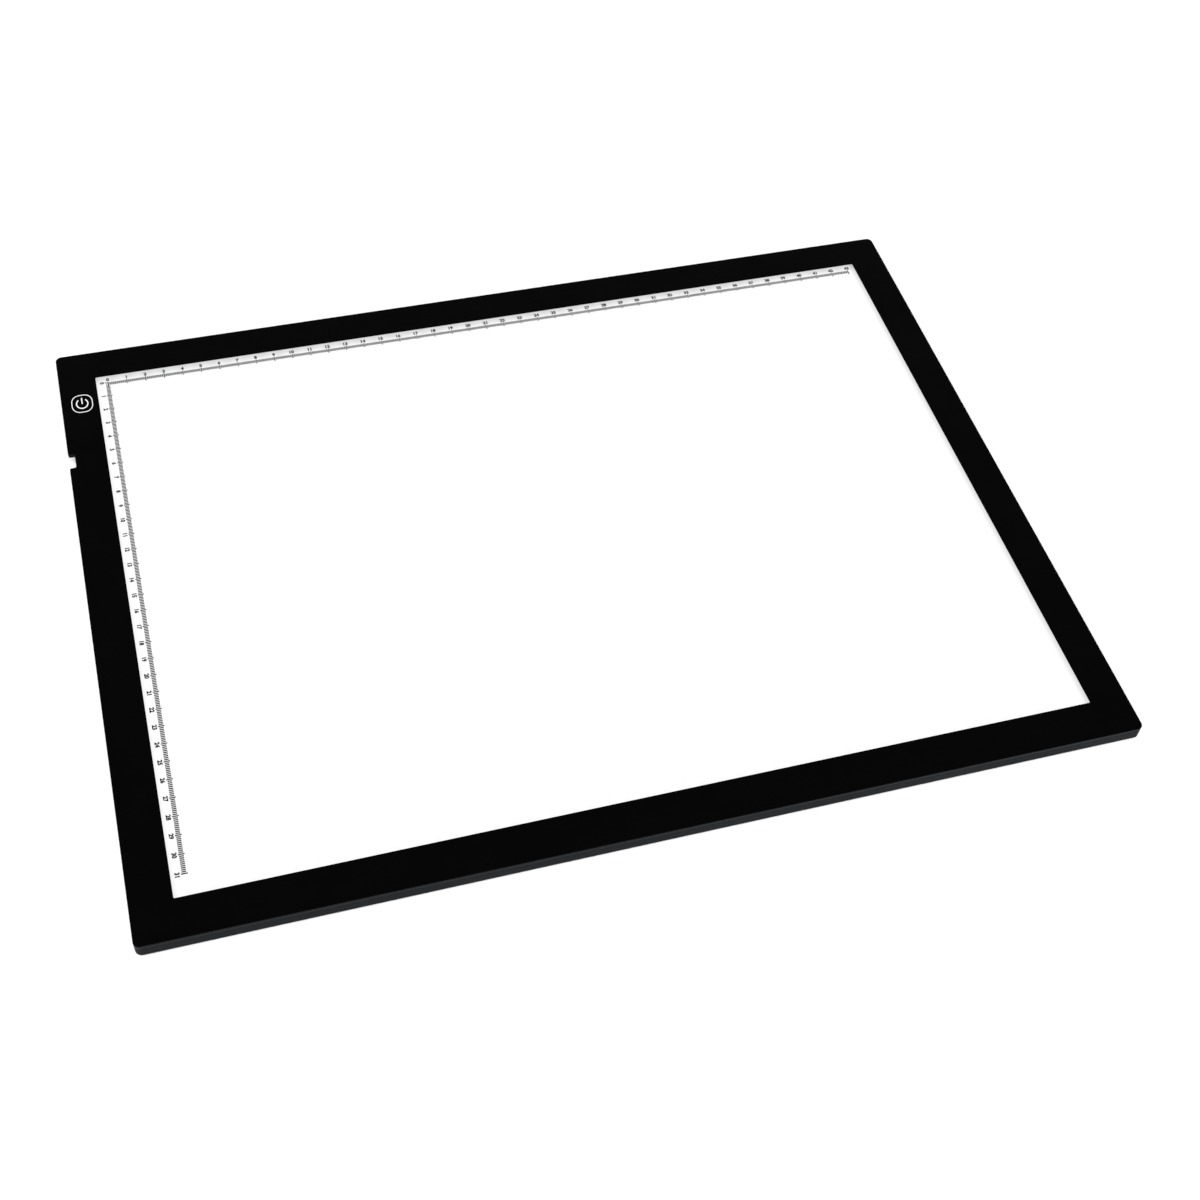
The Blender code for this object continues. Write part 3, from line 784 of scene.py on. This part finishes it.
front = [
    face for face in socket.faces
    if all(abs(vert.co.x - socket_low.x) < INK for vert in face.verts)
]
bmesh.ops.inset_region(socket, faces=front, thickness=SOCKET_WALL, use_even_offset=True)
pushed = bmesh.ops.extrude_face_region(socket, geom=front)["geom"]
pushed_faces = [item for item in pushed if isinstance(item, bmesh.types.BMFace)]
floor_verts = [vert for face in pushed_faces for vert in face.verts]
socket_depth = socket_high.x - socket_low.x - SOCKET_WALL
bmesh.ops.translate(socket, verts=floor_verts, vec=(socket_depth, 0, 0))
left_over = [face for face in front if face.is_valid]
bmesh.ops.delete(socket, geom=left_over, context="FACES_ONLY")
finish("socket_sleeve", socket, [steel], ["socket_shell"])

# %% [markdown]
# Under the cover sits a plain silver rating sticker. It is left without words. Its film has a
# brushed look, so the noise is stretched along its length.

# %% Label film
def label_film():
    material = new_finish("label_film", grey(0.5), 0.4, specular=0.4, metallic=0.3)
    brushed = noise(material, object_space(material, (1, 25, 1)), 8 * MM)
    tint(material, brushed, 0.3, 0.7, grey(0.42), (0.56, 0.56, 0.55))
    gloss(material, brushed, 0.3, 0.7, 0.32, 0.5)
    return material


silver_film = label_film()

# %% [markdown]
# The pieces inside keep their CAD shapes and get finishes of their own. The light guide has
# printed dots under it, the circuit board has copper tracks under green lacquer, and the rest are
# plastics, foams, films and metals with their own grain. One helper makes all the grained ones.

# %% Films, foam and tape
def grained(
    name, dark, light, roughness, grain, depth=0.0, specular=0.4, metallic=0.0,
):
    """A finish with a fine grain in its colour and gloss, and a relief where a depth is given."""
    middle = [(a + b) / 2 for a, b in zip(dark, light)]
    material = new_finish(name, middle, roughness, specular, metallic)
    pattern = noise(material, object_space(material), grain, 4)
    tint(material, pattern, 0.3, 0.7, dark, light)
    gloss(material, pattern, 0.3, 0.7, roughness * 0.85, min(roughness * 1.15, 1))
    if depth:
        bump(material, pattern, depth, 0.7)
    return material


diffuser_film = grained(
    "diffuser_film", grey(0.88), grey(0.95), 0.6, 0.2 * MM, 0.004 * MM,
)
reflector_film = grained("reflector_film", (0.85, 0.85, 0.86), grey(0.93), 0.35, 6 * MM)
black_tape = grained("black_tape", grey(0.015), grey(0.04), 0.8, 0.5 * MM, 0.02 * MM)
black_foam = grained("black_foam", grey(0.01), grey(0.035), 0.95, 0.6 * MM, 0.15 * MM, 0.2)

# %% Light guide with its dots
def guide_acrylic():
    """Clear acrylic with a grid of white dots that scatter the light out."""
    material = new_finish("guide_acrylic", (0.82, 0.9, 0.93), 0.08)
    dots = add(material, "ShaderNodeTexVoronoi", feature="F1")
    dots.inputs["Scale"].default_value = 1 / (2.5 * MM)
    dots.inputs["Randomness"].default_value = 0.0
    link(material, object_space(material), dots.inputs["Vector"])
    distance = dots.outputs["Distance"]
    tint(material, distance, 0.28, 0.34, grey(0.97), (0.78, 0.87, 0.9))
    gloss(material, distance, 0.28, 0.34, 0.5, 0.06)
    return material


clear_guide = guide_acrylic()

# %% Circuit board
def circuit_board():
    """Green lacquer with darker gaps between copper tracks."""
    material = new_finish("circuit_board", (0.02, 0.2, 0.07), 0.3)
    cells = add(material, "ShaderNodeTexVoronoi", feature="F1", distance="CHEBYCHEV")
    cells.inputs["Scale"].default_value = 1 / (1.8 * MM)
    link(material, object_space(material, (1, 0.4, 1)), cells.inputs["Vector"])
    distance = cells.outputs["Distance"]
    tint(material, distance, 0.3, 0.36, (0.025, 0.26, 0.09), (0.012, 0.13, 0.05))
    gloss(material, distance, 0.2, 0.5, 0.25, 0.38)
    bump(material, distance, 0.02 * MM, 0.4)
    return material


green_board = circuit_board()

# %% LED strips
def led_board():
    """White strip board with a yellow phosphor face at each LED."""
    material = new_finish("led_board", (0.85, 0.85, 0.82), 0.4)
    split = add(material, "ShaderNodeSeparateXYZ")
    link(material, object_space(material), split.inputs["Vector"])
    wave = led_wave(material, split.outputs["X"])
    tint(material, wave, 0.55, 0.6, (0.86, 0.86, 0.83), (0.9, 0.72, 0.2))
    gloss(material, wave, 0.5, 0.6, 0.45, 0.25)
    return material


strip_board = led_board()

# %% Chips, plugs and wires
moulding = grained(
    "chip_moulding", (0.018, 0.018, 0.019), (0.035, 0.035, 0.036), 0.5, 0.15 * MM, 0.01 * MM,
)
ferrite = grained("ferrite", (0.05, 0.05, 0.052), grey(0.11), 0.7, 0.3 * MM, 0.03 * MM)
ceramic = grained("capacitor_ceramic", (0.38, 0.27, 0.16), (0.5, 0.37, 0.23), 0.5, 0.4 * MM)
nylon = grained("plug_plastic", (0.78, 0.76, 0.7), (0.88, 0.86, 0.8), 0.45, 0.8 * MM)
gold = grained(
    "gold_contact", (0.78, 0.56, 0.22), (0.92, 0.7, 0.34), 0.22, 0.3 * MM, metallic=1.0,
)
red_jacket = grained("red_insulation", (0.5, 0.012, 0.012), (0.65, 0.03, 0.025), 0.4, 3 * MM)
black_jacket = grained("black_insulation", grey(0.012), grey(0.03), 0.4, 3 * MM)

# %% [markdown]
# Every CAD node names a material slot. A table gives each slot its finish, so the nodes that keep
# their CAD shape are dressed in one loop. The hidden ones are dressed as well.

# %% Dress the CAD nodes
dressing = {
    "guide_acrylic": clear_guide,
    "diffuser_film": diffuser_film,
    "reflector_film": reflector_film,
    "tape": black_tape,
    "foam": black_foam,
    "led_board": strip_board,
    "circuit_board": green_board,
    "plated_steel": steel,
    "gold_contact": gold,
    "chip_moulding": moulding,
    "ferrite": ferrite,
    "capacitor_ceramic": ceramic,
    "plug_plastic": nylon,
    "red_insulation": red_jacket,
    "black_insulation": black_jacket,
    "foot_rubber": rubber,
    "label_film": silver_film,
    "cover_plastic": black_abs,
    "panel_acrylic": ink_black,
}
for part in frame["record"]["subparts"]:
    mesh = nodes[part["node"]].data
    mesh.materials.clear()
    mesh.materials.append(dressing[part["material_slot"]])

# %% [markdown]
# The pad lies on a plain white floor in soft, even light. The floor is large, and its matte finish
# has a faint grain so that it isn't one flat colour. It lies a hair below the feet.

# %% Floor
FLOOR_SIZE = 6


def floor_paint():
    material = new_finish("floor_paint", grey(0.9), 0.9, specular=0.1)
    pattern = noise(material, object_space(material), 40 * MM)
    tint(material, pattern, 0.3, 0.7, grey(0.89), grey(0.92))
    return material


floor_bm = bmesh.new()
bmesh.ops.create_grid(floor_bm, x_segments=1, y_segments=1, size=FLOOR_SIZE)
floor_mesh = bpy.data.meshes.new("floor")
floor_bm.to_mesh(floor_mesh)
floor_bm.free()
floor_mesh.materials.append(floor_paint())
floor = bpy.data.objects.new("floor", floor_mesh)
floor.location.z = -SEAM
bpy.context.scene.collection.objects.link(floor)
print("floor is", 2 * FLOOR_SIZE, "m wide")

# %% [markdown]
# A sun with a very wide angle acts as a big soft lamp that lights the whole floor evenly. It
# stands to the front left, so its mirror image doesn't fall on the glossy panel as the camera sees
# it. A dim white world fills in the shadows, which keeps the black ink black. The camera itself
# sees that world as bright white, so no grey band shows beyond the floor's far edge.

# %% Sun
SUN_STRENGTH = 4.4
SUN_ANGLE = math.radians(60)
SUN_TILT = math.radians(35)
SUN_TURN = math.radians(-25)

lamp = bpy.data.lights.new("soft_key", "SUN")
lamp.energy = SUN_STRENGTH
lamp.angle = SUN_ANGLE
sun = bpy.data.objects.new("soft_key", lamp)
sun.rotation_euler = (SUN_TILT, 0, SUN_TURN)
bpy.context.scene.collection.objects.link(sun)
print("sun strength:", SUN_STRENGTH)

# %% World
FILL_STRENGTH = 0.2
BACKDROP_STRENGTH = 1.0
WHITE = (1, 1, 1, 1)

world = bpy.data.worlds.new("studio")
world.use_nodes = True
tree = world.node_tree
lit = tree.nodes["Background"]
seen = tree.nodes.new("ShaderNodeBackground")
for background, strength in ((lit, FILL_STRENGTH), (seen, BACKDROP_STRENGTH)):
    background.inputs["Color"].default_value = WHITE
    background.inputs["Strength"].default_value = strength
path = tree.nodes.new("ShaderNodeLightPath")
choice = tree.nodes.new("ShaderNodeMixShader")
tree.links.new(path.outputs["Is Camera Ray"], choice.inputs["Fac"])
tree.links.new(lit.outputs["Background"], choice.inputs[1])
tree.links.new(seen.outputs["Background"], choice.inputs[2])
tree.links.new(choice.outputs["Shader"], tree.nodes["World Output"].inputs["Surface"])
bpy.context.scene.world = world
bpy.context.scene.view_settings.view_transform = "Standard"
print("world fill:", FILL_STRENGTH)

# %% [markdown]
# The camera stands in front and a little to the left, looks down steeply and is rolled by a few
# degrees, so the pad runs diagonally across the picture.

# %% Camera
CAMERA_PLACE = Vector((-0.1799, -0.5563, 0.6957))
CAMERA_AIM = Vector((0.00487, -0.04716, 0.009))
CAMERA_ROLL = math.radians(5.28)
CAMERA_LENS = 52.53
SENSOR_WIDTH = 36

view = bpy.data.cameras.new("camera")
view.lens = CAMERA_LENS
view.sensor_width = SENSOR_WIDTH
camera = bpy.data.objects.new("camera", view)
look = (CAMERA_AIM - CAMERA_PLACE).to_track_quat("-Z", "Y").to_matrix()
turned = look @ Matrix.Rotation(CAMERA_ROLL, 3, "Z")
camera.matrix_world = Matrix.Translation(CAMERA_PLACE) @ turned.to_4x4()
bpy.context.scene.collection.objects.link(camera)
bpy.context.scene.camera = camera
print("camera lens in mm:", CAMERA_LENS)
